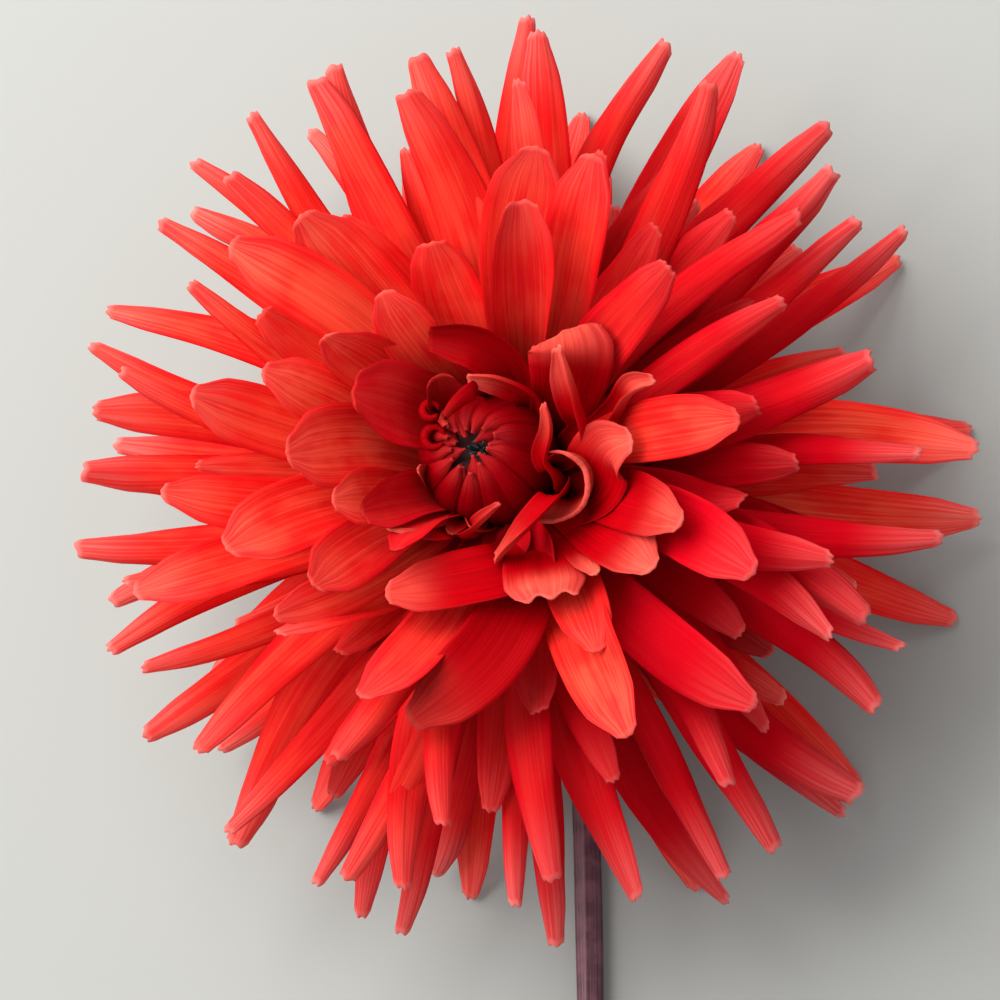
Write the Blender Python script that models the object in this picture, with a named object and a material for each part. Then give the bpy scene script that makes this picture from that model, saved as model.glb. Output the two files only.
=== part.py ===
"""Cut dahlia flower of the semi-cactus form, lying on its back on a surface.

The flower's axis is +Z. Its outermost florets rest on the surface, and the cut stem leaves the
underside, bends and lies along the surface towards -Y. Lengths are in millimetres, and the finished
mesh is scaled to metres. The origin is at the bottom centre of the whole object's box.
"""

import math

import bmesh
import bpy
import numpy as np

# Driving dimensions, in millimetres and degrees
METRES = 0.001
GAP = 0.3
RECEPTACLE_HEIGHT = 29.0          # centre of the receptacle above the surface
RECEPTACLE_RADIUS = 12.7
RECEPTACLE_FLOOR = -7.5           # flat underside, measured from the receptacle's centre
FLORET_THICKNESS = 0.5
CLAW_WIDTH = 2.0                  # width of a floret where it leaves the receptacle
CENTRE_RADIUS = 10.3              # widest part of the closed centre
CENTRE_TOP = 31.5
STEM_RADIUS = 2.2
NECK_RADIUS = 4.3
STEM_SIDES = 12
OUTER_BRACTS = 5
BRACT_LENGTH = 14.0
BRACT_WIDTH = 6.5
INNER_BRACTS = 8

# The open face of the flower is described as seen from a direction 20 degrees off its axis:
# each floret tip has a bearing (anticlockwise from the right) and a reach from the receptacle.
FACE_TURN = 60.0
FACE_TILT = 20.0

# How far a tip stands from the receptacle's centre, by the floret's lean from the axis
LEANS = (15.0, 28.0, 38.0, 50.0, 65.0, 75.0, 90.0, 130.0)
TIP_DISTANCES = (38.0, 42.0, 50.0, 59.0, 67.0, 71.0, 72.5, 72.5)

# Polar angle of each whorl's claws on the receptacle, from the hindmost whorl to the innermost
CLAW_LEANS = (98.0, 87.0, 75.0, 63.0, 51.0, 39.0, 28.0)
UNDER_CLAW_LEAN = 107.0

# Half-angles of a floret's cross-section at its claw, middle and end: a positive one is cupped,
# a negative one has its margins rolled back
CURLS = {
    "broad": (60.0, 30.0, 14.0),
    "flat": (60.0, 18.0, -16.0),
    "quill": (60.0, -12.0, -58.0),
}

# Whorls of separate florets: (bearing, reach, width, form) of each tip, hindmost whorl first
WHORLS = (
    ((355, 70, 8, "flat"), (141, 68, 5, "quill"), (175, 66, 5.5, "quill"), (212, 59, 5, "quill"),
     (256, 63.5, 5, "quill"), (313, 71, 5, "quill")),
    ((4, 68, 8.5, "flat"), (34, 68.5, 5, "quill"), (64, 73, 7.5, "flat"), (90, 72, 6, "quill"), (115, 71, 5.5, "quill"),
     (163, 71, 5, "quill"), (188, 71, 6, "quill"), (229, 71.5, 5.5, "quill"),
     (273, 71.5, 5, "quill"), (295, 71.5, 5.5, "flat"), (336, 61, 5, "quill")),
    ((4, 58.5, 5, "quill"), (50, 71, 6.5, "quill"), (100, 67, 5, "quill"), (145, 70, 5, "quill"),
     (214, 71.5, 6, "quill"), (249, 72, 5.5, "quill"), (326, 62, 6, "quill")),
    ((20, 54, 6.5, "quill"), (66, 66, 6, "quill"), (196, 63, 8, "broad"), (303, 54.5, 5.5, "quill"),
     (345, 46.5, 6.5, "flat")),
    ((45, 57, 6, "quill"), (89, 50, 9, "broad"), (142, 58, 8, "broad"), (235, 51, 6, "flat"),
     (291, 41, 7, "flat")),
    ((16, 32, 6.5, "flat"), (174, 37, 8, "broad")),
)

# The whorl under the open face, which carries the flower on the surface
UNDER_FLORETS = 13
UNDER_REACH = 64.0
UNDER_WIDTH = 6.5
UNDER_FREE = 34.0                 # open sector round the stem, in degrees

# The stem's centreline, from the receptacle's centre: (x, y, z)
STEM_ROUTE = ((0, 0, -8.4), (0, -2.5, -14), (0, -12, -21.5), (0.5, -30, -25.6), (1, -55, -26.8),
              (1.5, -85, -26.8), (1.5, -115, -26.8), (1, -148, -26.8))


def clear_scene():
    """Removes what the file starts with."""
    for thing in list(bpy.data.objects):
        bpy.data.objects.remove(thing)


def material(name, colour, roughness):
    """A plain Principled material."""
    made = bpy.data.materials.new(name)
    made.use_nodes = True
    shader = made.node_tree.nodes["Principled BSDF"]
    shader.inputs["Base Color"].default_value = (*colour, 1.0)
    shader.inputs["Roughness"].default_value = roughness
    shader.inputs["Metallic"].default_value = 0.0
    return made


def add_object(name, points, faces, colour, roughness, smooth_angle=60.0):
    """One closed body from points in millimetres round the receptacle's centre."""
    mesh = bpy.data.meshes.new(name)
    mesh.from_pydata([tuple(float(c) for c in p) for p in points], [], faces)
    shaped = bmesh.new()
    shaped.from_mesh(mesh)
    bmesh.ops.recalc_face_normals(shaped, faces=shaped.faces)
    shaped.to_mesh(mesh)
    shaped.free()
    mesh.shade_smooth()
    mesh.set_sharp_from_angle(angle=math.radians(smooth_angle))
    mesh.materials.append(material(name + "_finish", colour, roughness))
    made = bpy.data.objects.new(name, mesh)
    bpy.context.scene.collection.objects.link(made)
    return made


def unit(vector):
    """The vector at length one."""
    return vector / np.linalg.norm(vector)


def smooth_between(value, stops, heights):
    """Interpolates with a smooth step between stops."""
    for low, high, left, right in zip(stops, stops[1:], heights, heights[1:]):
        if value <= high:
            share = (value - low) / (high - low)
            return left + (right - left) * share * share * (3 - 2 * share)
    return heights[-1]


def on_sphere(lean, azimuth):
    """Unit vector at a lean from +Z and an azimuth from +X, both in degrees."""
    tilt = math.radians(lean)
    turn = math.radians(azimuth)
    return np.array([math.sin(tilt) * math.cos(turn), math.sin(tilt) * math.sin(turn), math.cos(tilt)])


def face_axes():
    """Right, up and outward axes of the direction from which the open face is described."""
    outward = on_sphere(FACE_TILT, FACE_TURN - 90.0)
    right = unit(np.array([outward[2], 0.0, -outward[0]]))
    up = np.cross(outward, right)
    return right, up, outward


def tip_point(bearing, reach, whorl):
    """Where a tip stands in space: on the near side of the flower's dome, or the far side at the back."""
    right, up, outward = face_axes()
    turn = math.radians(bearing)
    flat = reach * (math.cos(turn) * right + math.sin(turn) * up)
    depths = np.arange(60.0, -40.0, -0.25)
    if whorl == 0:
        depths = depths[::-1]
    closest = None
    for depth in depths:
        point = flat + depth * outward
        if point[2] < 6.0 - RECEPTACLE_HEIGHT:
            continue
        distance = np.linalg.norm(point)
        lean = math.degrees(math.acos(point[2] / distance))
        excess = distance - np.interp(lean, LEANS, TIP_DISTANCES)
        if excess <= 0.0:
            return point
        if closest is None or excess < closest[0]:
            closest = (excess, point)
    return closest[1]


def spine_point(share, claw, lift, tip):
    """A point on the floret's midrib, which leaves the claw along lift and bends over to the tip."""
    length = np.linalg.norm(tip - claw)
    first = claw + lift * length * 0.36
    second = tip - unit(tip - first) * length * 0.3
    rest = 1.0 - share
    return (rest ** 3 * claw + 3 * rest * rest * share * first
            + 3 * rest * share * share * second + share ** 3 * tip)


def floret_sheet(claw, lift, tip, width, form, rows, columns):
    """Mid-surface of a floret and its normals, as two grids of points."""
    azimuth = math.atan2(tip[1], tip[0])
    across = np.array([-math.sin(azimuth), math.cos(azimuth), 0.0])
    grid = np.zeros((rows + 1, columns + 1, 3))
    normals = np.zeros((rows + 1, columns + 1, 3))
    for row in range(rows + 1):
        share = row / rows
        centre = spine_point(share, claw, lift, tip)
        ahead = spine_point(min(share + 0.01, 1.0), claw, lift, tip)
        behind = spine_point(max(share - 0.01, 0.0), claw, lift, tip)
        along = unit(ahead - behind)
        side = unit(across - along * np.dot(across, along))
        upper = np.cross(along, side)
        profile = smooth_between(share, (0.0, 0.55, 0.82, 1.0), (CLAW_WIDTH / width, 1.0, 0.82, 0.2))
        curl = math.radians(smooth_between(share, (0.0, 0.45, 1.0), CURLS[form]))
        radius = width * profile / (2.0 * curl) if abs(curl) > 0.02 else 1.0e4
        for column in range(columns + 1):
            angle = (2.0 * column / columns - 1.0) * width * profile / (2.0 * radius)
            offset = side * radius * math.sin(angle) + upper * radius * (1.0 - math.cos(angle))
            grid[row, column] = centre + offset
            normals[row, column] = upper * math.cos(angle) - side * math.sin(angle)
    return grid, normals


def thick_sheet(grid, normals, thickness):
    """Points and faces of the closed body on both sides of a sheet."""
    rows, columns = grid.shape[0] - 1, grid.shape[1] - 1
    upper = (grid + normals * thickness / 2.0).reshape(-1, 3)
    lower = (grid - normals * thickness / 2.0).reshape(-1, 3)
    step = columns + 1
    under = len(upper)
    faces = []
    for row in range(rows):
        for column in range(columns):
            a = row * step + column
            quad = (a, a + 1, a + step + 1, a + step)
            faces.append(quad)
            faces.append(tuple(under + corner for corner in reversed(quad)))
    rim = [column for column in range(columns)]
    rim += [row * step + columns for row in range(rows)]
    rim += [rows * step + column for column in range(columns, 0, -1)]
    rim += [row * step for row in range(rows, 0, -1)]
    for near, far in zip(rim, rim[1:] + rim[:1]):
        faces.append((far, near, under + near, under + far))
    return np.vstack([upper, lower]), faces


def floret_body(tip, claw_lean, width, form):
    """Points and faces of one floret from its tip and the lean of its claw."""
    azimuth = math.degrees(math.atan2(tip[1], tip[0]))
    seat = on_sphere(claw_lean, azimuth)
    claw = seat * (RECEPTACLE_RADIUS + GAP)
    lift = unit(seat + np.array([0.0, 0.0, 0.3]))
    grid, normals = floret_sheet(claw, lift, tip, width, form, 7, 4)
    return thick_sheet(grid, normals, FLORET_THICKNESS)


def add_open_florets():
    """The separate florets of the open face, whorl by whorl."""
    for whorl, florets in enumerate(WHORLS):
        for number, (bearing, reach, width, form) in enumerate(florets, 1):
            tip = tip_point(bearing, reach, whorl)
            points, faces = floret_body(tip, CLAW_LEANS[whorl], width, form)
            add_object(f"floret_whorl{whorl + 1}_{number:02d}", points, faces, (0.80, 0.02, 0.015), 0.5)


def add_under_florets():
    """The florets that carry the flower: each one's lowest point is on the surface."""
    first = -90.0 + UNDER_FREE / 2.0
    sector = (360.0 - UNDER_FREE) / (UNDER_FLORETS - 1)
    for number in range(UNDER_FLORETS):
        azimuth = math.radians(first + sector * number)
        tip = np.array([UNDER_REACH * math.cos(azimuth), UNDER_REACH * math.sin(azimuth), -25.0])
        for _ in range(4):
            points, faces = floret_body(tip, UNDER_CLAW_LEAN, UNDER_WIDTH, "flat")
            tip = tip - np.array([0.0, 0.0, points[:, 2].min() + RECEPTACLE_HEIGHT])
        add_object(f"floret_under_{number + 1:02d}", points, faces, (0.70, 0.03, 0.03), 0.5)


def turned(profile, sides):
    """Points and faces of a body turned round +Z, from (radius, height) pairs, bottom to top."""
    points = []
    for radius, height in profile:
        for side in range(sides):
            turn = 2.0 * math.pi * side / sides
            points.append((radius * math.cos(turn), radius * math.sin(turn), height))
    faces = []
    for ring in range(len(profile) - 1):
        for side in range(sides):
            following = (side + 1) % sides
            faces.append((ring * sides + side, ring * sides + following,
                          (ring + 1) * sides + following, (ring + 1) * sides + side))
    faces.append(tuple(reversed(range(sides))))
    faces.append(tuple((len(profile) - 1) * sides + side for side in range(sides)))
    return points, faces


def add_receptacle():
    """The domed base on which every floret stands."""
    lowest = math.degrees(math.acos(RECEPTACLE_FLOOR / RECEPTACLE_RADIUS))
    profile = []
    for step in range(11):
        lean = math.radians(lowest + (8.0 - lowest) * step / 10.0)
        profile.append((RECEPTACLE_RADIUS * math.sin(lean), RECEPTACLE_RADIUS * math.cos(lean)))
    points, faces = turned(profile, 24)
    add_object("receptacle", points, faces, (0.30, 0.36, 0.10), 0.6)


def add_closed_centre():
    """The unopened florets in the middle, as one bud-shaped solid on the receptacle."""
    bottom = RECEPTACLE_RADIUS + GAP
    middle = bottom + 8.5
    profile = [(2.2, bottom)]
    for step in range(1, 6):
        rise = math.radians(90.0 * step / 6.0)
        profile.append((2.2 + (CENTRE_RADIUS - 2.2) * math.sin(rise), middle - (middle - bottom) * math.cos(rise)))
    for step in range(0, 7):
        rise = math.radians(84.0 * step / 6.0)
        profile.append((CENTRE_RADIUS * math.cos(rise), middle + (CENTRE_TOP - middle) * math.sin(rise)))
    points, faces = turned(profile, 20)
    add_object("closed_centre", points, faces, (0.45, 0.01, 0.02), 0.5)


def add_outer_bracts():
    """Five green bracts turned back towards the stem."""
    for number in range(OUTER_BRACTS):
        azimuth = 90.0 + 360.0 * number / OUTER_BRACTS
        start = on_sphere(133.0, azimuth) * (RECEPTACLE_RADIUS + GAP)
        tip = start + on_sphere(143.0, azimuth) * BRACT_LENGTH
        grid, normals = floret_sheet(start, on_sphere(118.0, azimuth), tip, BRACT_WIDTH, "broad", 6, 4)
        points, faces = thick_sheet(grid, normals, 0.6)
        add_object(f"outer_bract_{number + 1}", points, faces, (0.12, 0.25, 0.05), 0.6)


def add_inner_bracts():
    """The thin inner bracts, grown together at their bases into one scalloped cup."""
    rows, columns = 5, INNER_BRACTS * 6
    points = []
    for thickness in (0.0, 0.5):
        for row in range(rows + 1):
            for column in range(columns):
                lobe = abs(math.cos(math.pi * INNER_BRACTS * column / columns)) ** 0.7
                reach = RECEPTACLE_RADIUS + GAP + 0.3 + (row / rows) * (4.0 + 7.0 * lobe)
                lean = 125.0 - 4.0 * row / rows
                azimuth = 360.0 * column / columns
                across = on_sphere(lean - 90.0, azimuth)
                points.append(on_sphere(lean, azimuth) * reach + across * thickness)
    layer = (rows + 1) * columns
    faces = []
    for row in range(rows):
        for column in range(columns):
            following = (column + 1) % columns
            a, b = row * columns + column, row * columns + following
            faces.append((a, b, b + columns, a + columns))
            faces.append((layer + a, layer + a + columns, layer + b + columns, layer + b))
    for column in range(columns):
        following = (column + 1) % columns
        faces.append((column, layer + column, layer + following, following))
        a, b = rows * columns + column, rows * columns + following
        faces.append((a, b, layer + b, layer + a))
    add_object("inner_bracts", points, faces, (0.50, 0.48, 0.22), 0.6)


def smooth_route(route, steps):
    """Points on a smooth curve through the route's own points."""
    knots = [np.array(point, float) for point in route]
    knots = [2 * knots[0] - knots[1]] + knots + [2 * knots[-1] - knots[-2]]
    line = []
    for before, start, end, after in zip(knots, knots[1:], knots[2:], knots[3:]):
        for step in range(steps):
            t = step / steps
            line.append(0.5 * (2 * start + (end - before) * t
                               + (2 * before - 5 * start + 4 * end - after) * t * t
                               + (3 * start - before - 3 * end + after) * t ** 3))
    line.append(knots[-2])
    return line


def add_stem():
    """The round stem, with a wider neck under the receptacle and a plain cut end."""
    line = smooth_route(STEM_ROUTE, 5)
    points = []
    for place, centre in enumerate(line):
        ahead = line[min(place + 1, len(line) - 1)]
        behind = line[max(place - 1, 0)]
        along = unit(ahead - behind)
        side = np.array([1.0, 0.0, 0.0])
        side = unit(side - along * np.dot(side, along))
        other = np.cross(along, side)
        radius = STEM_RADIUS + (NECK_RADIUS - STEM_RADIUS) * max(0.0, 1.0 - place / 6.0) ** 2
        for step in range(STEM_SIDES):
            turn = 2.0 * math.pi * (step + 0.5) / STEM_SIDES
            points.append(centre + radius * (math.cos(turn) * side + math.sin(turn) * other))
    points = np.array(points)
    points[:, 2] = np.maximum(points[:, 2], -RECEPTACLE_HEIGHT)
    points[:STEM_SIDES, 2] = RECEPTACLE_FLOOR - GAP
    faces = []
    for ring in range(len(line) - 1):
        for step in range(STEM_SIDES):
            following = (step + 1) % STEM_SIDES
            faces.append((ring * STEM_SIDES + step, (ring + 1) * STEM_SIDES + step,
                          (ring + 1) * STEM_SIDES + following, ring * STEM_SIDES + following))
    faces.append(tuple(range(STEM_SIDES)))
    faces.append(tuple((len(line) - 1) * STEM_SIDES + step for step in reversed(range(STEM_SIDES))))
    add_object("stem", points, faces, (0.075, 0.018, 0.03), 0.45)


def settle_on_origin():
    """Scales every mesh to metres and puts the origin at the bottom centre of the whole box."""
    shown = [thing for thing in bpy.data.objects if thing.type == "MESH"]
    corners = np.array([vertex.co for thing in shown for vertex in thing.data.vertices])
    low, high = corners.min(axis=0), corners.max(axis=0)
    shift = np.array([-(low[0] + high[0]) / 2.0, -(low[1] + high[1]) / 2.0, -low[2]])
    for thing in shown:
        for vertex in thing.data.vertices:
            vertex.co = [(vertex.co[axis] + shift[axis]) * METRES for axis in range(3)]
        thing.data.update()


def main():
    """Builds the whole flower."""
    clear_scene()
    add_receptacle()
    add_closed_centre()
    add_open_florets()
    add_under_florets()
    add_outer_bracts()
    add_inner_bracts()
    add_stem()
    settle_on_origin()


main()
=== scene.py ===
"""The looks of a cut semi-cactus dahlia, lying on its back on a pale floor.

Lengths are in millimetres from the receptacle's centre, with +Z along the flower's axis, unless a
comment says metres. They become metres in the frame's own place when a piece's points are set.
"""

import math
import random

import bpy
import numpy as np
from mathutils import Matrix, Vector


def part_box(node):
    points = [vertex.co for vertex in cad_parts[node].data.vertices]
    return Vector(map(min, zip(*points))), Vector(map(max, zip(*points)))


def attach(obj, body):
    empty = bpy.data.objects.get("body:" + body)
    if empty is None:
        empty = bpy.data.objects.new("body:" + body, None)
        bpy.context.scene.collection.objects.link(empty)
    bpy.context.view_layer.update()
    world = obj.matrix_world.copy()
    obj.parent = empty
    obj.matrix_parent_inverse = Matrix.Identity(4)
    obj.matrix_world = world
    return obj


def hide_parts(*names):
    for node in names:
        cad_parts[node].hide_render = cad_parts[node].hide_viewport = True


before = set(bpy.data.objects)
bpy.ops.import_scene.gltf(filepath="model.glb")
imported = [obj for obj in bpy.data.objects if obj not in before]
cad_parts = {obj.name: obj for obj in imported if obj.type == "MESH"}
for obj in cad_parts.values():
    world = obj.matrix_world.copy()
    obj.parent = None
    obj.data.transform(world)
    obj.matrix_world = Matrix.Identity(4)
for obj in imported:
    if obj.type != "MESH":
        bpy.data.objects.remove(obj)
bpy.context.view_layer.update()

# ------------------------------------------------------------------ driving dimensions
MM = 0.001                        # metres in a millimetre
RECEPTACLE_RADIUS = 12.7
RECEPTACLE_FLOOR = -7.5
FLORET_THICKNESS = 0.34
MARGIN_SHARE = 0.22               # thickness left at a floret's margin
CLAW_WIDTH = 2.0
CLAW_SINK = 0.4                   # how deep a claw stands in the receptacle
CLAW_LIFT = 0.3                   # how much a claw's direction leans towards the face
CLAW_END = 0.2                    # share of the length where the claw has reached full width
TIP_HANDLE = 0.3                  # share of the length over which the tip hooks
FLOOR_CLEARANCE = 0.25            # a floret's midplane stays so far above the floor
PLEAT_HEIGHT = 0.06
GROOVE_DEPTH = 0.12               # groove over a floret's midrib
GROOVE_SPREAD = 0.14
RIPPLE_HEIGHT = 0.22
WAVE_HEIGHT = 0.35
RELIEF_WIDTH = 7.0                # a narrower floret has lower relief in proportion
TIP_ROUNDING = 0.016
BUD_CENTRE = 20.5                 # centre of the closed middle, above the receptacle's centre
BUD_RADIUS = 10.2
BUD_HEIGHT = 10.8
SCALE_START_LEAN = 112.0
SCALE_SWIRL = 0.35
SCALE_CROWN = 0.95                # height of a scale's middle over its margins
SCALE_SLANT = 0.5                 # how far one margin lies over the next scale
SCALE_OUTLINE = (0.85, 1.0, 1.0, 1.0, 0.86, 0.1)
SCALE_RINGS = ((13, 9.6, 15.0, 1.32), (9, 8.8, 11.0, 1.3))   # scales, radius, end lean, overlap
BUD_HEART_RADIUS = 9.2
BUD_HEART_HEIGHT = 9.6
EYE_DEPTH = 3.0
EYE_SPREAD = 0.12
BRACTEOLES = 8
EYE_FLOOR = (0.9, -0.2, 27.0)
EYE_TOP = (1.2, -0.3, 30.2)
OUTER_BRACTS = 5
OUTER_BRACT_LENGTH = 14.0
OUTER_BRACT_WIDTH = 6.5
INNER_BRACTS = 8
INNER_BRACT_REACH = 25.0
INNER_BRACT_WIDTH = 9.0
STEM_RADIUS = 2.15
NECK_RADIUS = 4.2
NECK_LENGTH = 14.0
CUT_RADII = (0.9, 0.42, 0.36, 0.0)   # shares of the radius from the cut edge into the hollow
HOLLOW_DEPTH = 2.4
BUMP_DEPTH = 0.00012              # metres, for every material

# The open face of the flower is described as seen from a direction 20 degrees off its axis:
# each floret tip has a bearing (anticlockwise from the right) and a reach from the receptacle.
FACE_TURN = 60.0
FACE_TILT = 20.0
VIEW_DISTANCE = 1200.0
VIEW_WIDTH = 154.0
SENSOR = 36.0
VIEW_OFFSET = (-4.6, -3.1)        # middle of the view from the receptacle, right and up

LEANS = (15.0, 28.0, 38.0, 50.0, 65.0, 75.0, 90.0, 130.0)
TIP_DISTANCES = (38.0, 42.0, 50.0, 59.0, 67.0, 71.0, 72.5, 72.5)   # the dome on which tips stand
TIP_SEARCH = (60.0, -40.0, -0.25)   # depths tried for a tip: first, last and step
LOWEST_TIP = 6.0                  # above the floor
# A filling floret covers so many degrees of open face, is so long beside its neighbours, and
# stands so far behind them.
FILL_GAP = (17.0, 17.0, 18.0, 20.0, 26.0)
FILL_LENGTH = (0.60, 0.62, 0.72, 0.76, 0.74)
FILL_SINK = 2.0
FILL_LEAN = 4.0                   # how much lower on the receptacle a filling floret starts
CLAW_LEANS = (98.0, 87.0, 75.0, 63.0, 51.0, 39.0, 29.0)
UNDER_CLAW_LEAN = 107.0

receptacle_low, receptacle_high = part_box("receptacle")
HEART = Vector(((receptacle_low.x + receptacle_high.x) / 2,
                (receptacle_low.y + receptacle_high.y) / 2,
                receptacle_low.z - RECEPTACLE_FLOOR * MM))
FLOOR_HEIGHT = -HEART.z / MM

# ------------------------------------------------------------------ forms of floret
# Each has the half-angles of its cross-section at the claw, middle and end (a positive one is cupped,
# a negative one has its margins rolled back), its shares of the full width at OUTLINE_STOPS, and the
# depth of the teeth at its tip, as a share of its length.
OUTLINE_STOPS = (0.0, 0.3, 0.58, 0.8, 0.93, 1.0)
OUTLINE_SOFTNESS = 0.06
CURL_STOPS = (0.0, 0.45, 1.0)
LEAST_CURL = 0.03                 # radians
FORMS = {
    "quill": ((60, -20, -82), (0.5, 1.17, 1.22, 0.92, 0.68, 0.34), 0.009),
    "flat": ((60, 14, -34), (0.5, 1.14, 1.24, 0.98, 0.70, 0.22), 0.010),
    "broad": ((60, 24, 8), (0.42, 0.88, 1.16, 1.18, 0.86, 0.10), 0.004),
    "cup": ((80, 62, 44), (0.3, 0.78, 1.05, 1.1, 0.9, 0.34), 0.01),
    "hood": ((85, 74, 62), (0.3, 0.8, 1.0, 1.05, 0.92, 0.42), 0.004),
    "trumpet": ((110, 125, 112), (0.4, 0.7, 0.82, 0.9, 1.08, 1.42), 0.03),
    "roll": ((120, 150, 165), (0.5, 0.8, 0.95, 1.0, 1.0, 0.92), 0.0),
    "spoon": ((60, 26, -16), (0.4, 0.66, 0.92, 1.14, 1.12, 0.62), 0.035),
    "fold": ((80, 76, 84), (0.3, 0.85, 1.0, 0.86, 0.6, 0.12), 0.01),
    "lance": ((50, 30, -30), (0.4, 0.85, 1.0, 0.78, 0.45, 0.06), 0.0),
}

# Whorls of florets, hindmost first: (bearing, reach, width, form, extras), where the form is a quill
# if it is left out. The first ones of each whorl stand for that whorl's CAD nodes, in their order.
# An entry's extras may set its share of painted light outright: the two wide florets at the back are painted
# paler and more orange, as if lit through from behind.
WHORLS = (
    ((355, 70, 8, "flat", {"twist": 30, "warm": 0.85}), (141, 68, 5), (175, 66, 5.5),
     (212, 59, 5), (256, 63.5, 5), (313, 71, 5),
     (78, 52, 6, "flat"), (309, 51, 6, "flat", {"twist": 70}), (221, 65, 5),
     (196, 68.7, 5), (129, 61, 5), (122, 65.5, 5)),
    ((4, 68, 8.5, "flat", {"twist": -25, "warm": 0.85}), (34, 68.5, 4.6), (64, 73.5, 7.5, "flat"),
     (90, 72, 5.6), (115, 71, 5.4), (163, 71.5, 4.6),
     (188, 71, 5.8), (229, 71.5, 5.4), (273, 71.5, 4.8),
     (295, 71.5, 5.4, "flat"), (336, 61.3, 4.4),
     (317, 69, 7.2), (303, 67.3, 5.4), (268, 64.4, 4),
     (254, 73, 4.6), (242, 70, 4), (202, 70, 5.2),
     (194, 64, 5.4, "flat"), (179, 69, 6.2), (171, 68.2, 7, "flat"),
     (137, 72, 4.8), (127, 71.5, 4.6), (46, 65.5, 5.4)),
    ((4, 58.5, 4.4), (50, 71, 6.2), (100, 67, 4.6),
     (145, 70, 4.8), (214, 71.6, 5.8), (249, 72.2, 5),
     (326, 62.2, 6.2),
     (352, 62.5, 5.4), (332, 50.5, 6.2, "flat", {"hook": 0.3}), (296, 67, 4.6),
     (284, 65.5, 6.8), (231, 73, 6.8), (206, 66, 4),
     (165, 65, 4), (158, 70.8, 5), (150, 60, 4),
     (135, 65.8, 5.4), (119, 70.4, 7.4), (89, 68.8, 7, "flat"),
     (73, 70.4, 5.4), (38, 63, 4.6)),
    ((20, 54, 6.8), (66, 66.2, 6.2), (196, 62.8, 8, "broad"),
     (303, 54.5, 5), (345, 46.5, 6.2, "flat"),
     (337, 54.2, 7, "quill", {"hook": 0.3}), (273, 60.5, 6), (253, 64.8, 6.2),
     (245, 66.8, 5.6), (219, 65.5, 6.2), (182, 56, 7.8, "broad"),
     (166, 53, 9, "broad"), (211, 44.7, 6.2, "flat"), (108, 62, 8.2),
     (105, 67.3, 6.8), (92, 60.8, 6.2, "flat")),
    ((45, 57, 6.2), (89, 50, 10.5, "broad", {"hook": -0.1}), (142, 58, 9.4, "broad"),
     (235, 51, 5.6), (291, 40.8, 9.6, "broad", {"warm": 0.9}),
     (315, 47.4, 8, "broad"), (256, 53.4, 5),
     (193, 47, 10, "broad"), (208, 43.6, 6, "broad"), (158, 43.7, 8.6, "broad"),
     (131, 53, 10, "broad"), (79, 49.7, 8.6, "broad"), (35, 46.2, 5),
     (337, 35.9, 8.6, "broad", {"hook": 0.25})),
    ((16, 32.2, 8, "broad", {"hook": 0.3, "warm": 0.6}), (174, 37, 11, "broad"),
     (232, 41.4, 8.4, "broad", {"sway": 0.10}), (206, 36.3, 8.6, "broad"), (145, 37.7, 9, "broad"),
     (92, 42, 8.6, "cup", {"hook": 0.1}), (57, 37.9, 8, "flat"),
     (291, 27.6, 7.5, "broad", {"hook": 0.3, "sink": 6.0, "bow": 0.15, "warm": 0.5}),
     (128, 36, 8.6, "broad"), (186, 30, 8, "broad")),
    ((154, 30.0, 11.5, "cup", {"hook": 0.3}), (191, 26, 7, "cup"), (208, 23, 6, "broad"),
     (256, 14, 7, "cup", {"hook": 0.2, "sink": 11.0}), (285, 14, 7, "cup", {"hook": 0.2, "sink": 11.0})),
)

YOUNG_THICKNESS = {"roll": 1.15, "trumpet": 0.8}   # fleshier, so that their ends show as rims
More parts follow.
